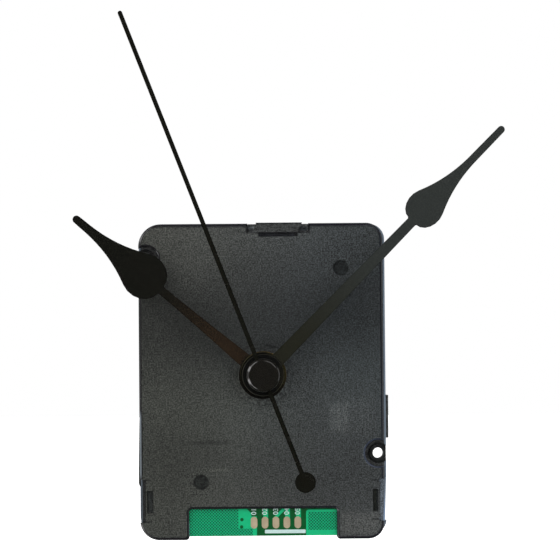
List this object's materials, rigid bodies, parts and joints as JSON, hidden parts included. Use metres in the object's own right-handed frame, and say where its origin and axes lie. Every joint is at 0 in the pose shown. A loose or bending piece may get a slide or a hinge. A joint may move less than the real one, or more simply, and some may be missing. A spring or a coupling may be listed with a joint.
{
  "type": "radio-controlled clock movement",
  "caption": "Radio-controlled wall clock movement in a charcoal case with heart-shaped black hands, a thin second hand and a bare board edge below.",
  "frame": {"origin": "on the hand shaft, in the plane of the case's front face", "axes": "+X to 3 o'clock, +Z to 12 o'clock, -Y out of the dial towards the viewer, the back of the case at +Y"},
  "size_m": [0.1234, 0.031, 0.1511],
  "materials": {
    "case_plastic": "fine spark-eroded",
    "case_back_plastic": "fine spark-eroded",
    "button_plastic": "smooth",
    "brass": "turned",
    "board": "solder mask over glass epoxy",
    "pad_copper": "flashed copper",
    "black_resin": "cast resin",
    "can_steel": "drawn",
    "contact_steel": "nickel plated spring steel",
    "motor_steel": "stamped",
    "gear_plastic": "moulded acetal",
    "plate_plastic": "moulded",
    "wire_copper": "enamelled copper winding",
    "ferrite": "sintered",
    "hand_black": "matt black lacquer",
    "cap_black": "polished"
  },
  "bodies": {
    "movement": {"front_case": "case_plastic", "rear_case": "case_back_plastic", "centre_bush": "brass", "circuit_board": "board", "test_pads": "pad_copper", "clock_chip": "black_resin", "crystals": "can_steel", "capacitors": "black_resin", "tact_switches": "can_steel", "infrared_emitter": "black_resin", "photo_sensor": "black_resin", "sensor_board": "board", "ferrite_rod": "ferrite", "antenna_bobbin": "plate_plastic", "antenna_coil": "wire_copper", "contact_positive": "contact_steel", "contact_negative": "contact_steel", "mid_plate": "plate_plastic", "rear_plate": "plate_plastic", "plate_screws": "can_steel", "seconds_stator": "motor_steel", "seconds_core": "motor_steel", "seconds_bobbin": "plate_plastic", "seconds_coil": "wire_copper", "minute_stator": "motor_steel", "minute_core": "motor_steel", "minute_bobbin": "plate_plastic", "minute_coil": "wire_copper"},
    "second_set": {"second_arbor": "can_steel", "seconds_wheel": "gear_plastic", "second_hand": "hand_black", "second_cap": "cap_black"},
    "transfer_set": {"transfer_wheel": "gear_plastic"},
    "seconds_rotor_set": {"seconds_rotor": "gear_plastic", "seconds_magnet": "ferrite"},
    "minute_set": {"minute_pipe": "gear_plastic", "minute_wheel": "gear_plastic", "minute_hand": "hand_black", "minute_hub": "brass"},
    "third_set": {"third_wheel": "gear_plastic"},
    "fourth_set": {"fourth_wheel": "gear_plastic"},
    "minute_rotor_set": {"minute_rotor": "gear_plastic", "minute_magnet": "ferrite"},
    "motion_set": {"motion_wheel": "gear_plastic"},
    "hour_set": {"hour_wheel": "gear_plastic", "hour_hand": "hand_black", "hour_hub": "brass"},
    "left_push": {"left_button": "button_plastic", "left_plunger": "button_plastic"},
    "middle_push": {"middle_button": "button_plastic", "middle_plunger": "button_plastic"},
    "right_push": {"right_button": "button_plastic", "right_plunger": "button_plastic"}
  },
  "joints": [
    {"name": "second_turn", "type": "hinge", "parent": "movement", "child": "second_set", "pos_m": [0, 0, 0], "axis": [0, 1, 0], "continuous": true},
    {"name": "transfer_turn", "type": "hinge", "parent": "movement", "child": "transfer_set", "pos_m": [0.00493, 0, 0.00927], "axis": [0, 1, 0], "continuous": true},
    {"name": "seconds_rotor_turn", "type": "hinge", "parent": "movement", "child": "seconds_rotor_set", "pos_m": [-0.00086, 0, 0.01617], "axis": [0, 1, 0], "continuous": true},
    {"name": "minute_turn", "type": "hinge", "parent": "movement", "child": "minute_set", "pos_m": [0, 0, 0], "axis": [0, 1, 0], "continuous": true},
    {"name": "third_turn", "type": "hinge", "parent": "movement", "child": "third_set", "pos_m": [-0.0086, 0, -0.00602], "axis": [0, 1, 0], "continuous": true},
    {"name": "fourth_turn", "type": "hinge", "parent": "movement", "child": "fourth_set", "pos_m": [-0.01729, 0, -0.00369], "axis": [0, 1, 0], "continuous": true},
    {"name": "minute_rotor_turn", "type": "hinge", "parent": "movement", "child": "minute_rotor_set", "pos_m": [-0.01795, 0, -0.01116], "axis": [0, 1, 0], "continuous": true},
    {"name": "motion_turn", "type": "hinge", "parent": "movement", "child": "motion_set", "pos_m": [0.00689, 0, -0.00579], "axis": [0, 1, 0], "continuous": true},
    {"name": "hour_turn", "type": "hinge", "parent": "movement", "child": "hour_set", "pos_m": [0, 0, 0], "axis": [0, 1, 0], "continuous": true},
    {"name": "left_press", "type": "slide", "parent": "movement", "child": "left_push", "axis": [0, 1, 0], "range_m": [-0.0005, 0], "stiffness_N_per_m": 300},
    {"name": "middle_press", "type": "slide", "parent": "movement", "child": "middle_push", "axis": [0, 1, 0], "range_m": [-0.0005, 0], "stiffness_N_per_m": 300},
    {"name": "right_press", "type": "slide", "parent": "movement", "child": "right_push", "axis": [0, 1, 0], "range_m": [-0.0005, 0], "stiffness_N_per_m": 300}
  ],
  "couplings": [
    {"joint": "transfer_turn", "follows": "second_turn", "ratio": -6},
    {"joint": "seconds_rotor_turn", "follows": "second_turn", "ratio": 30},
    {"joint": "third_turn", "follows": "minute_turn", "ratio": -6},
    {"joint": "fourth_turn", "follows": "minute_turn", "ratio": 30},
    {"joint": "minute_rotor_turn", "follows": "minute_turn", "ratio": -120},
    {"joint": "motion_turn", "follows": "minute_turn", "ratio": -0.33333},
    {"joint": "hour_turn", "follows": "minute_turn", "ratio": 0.083333}
  ]
}
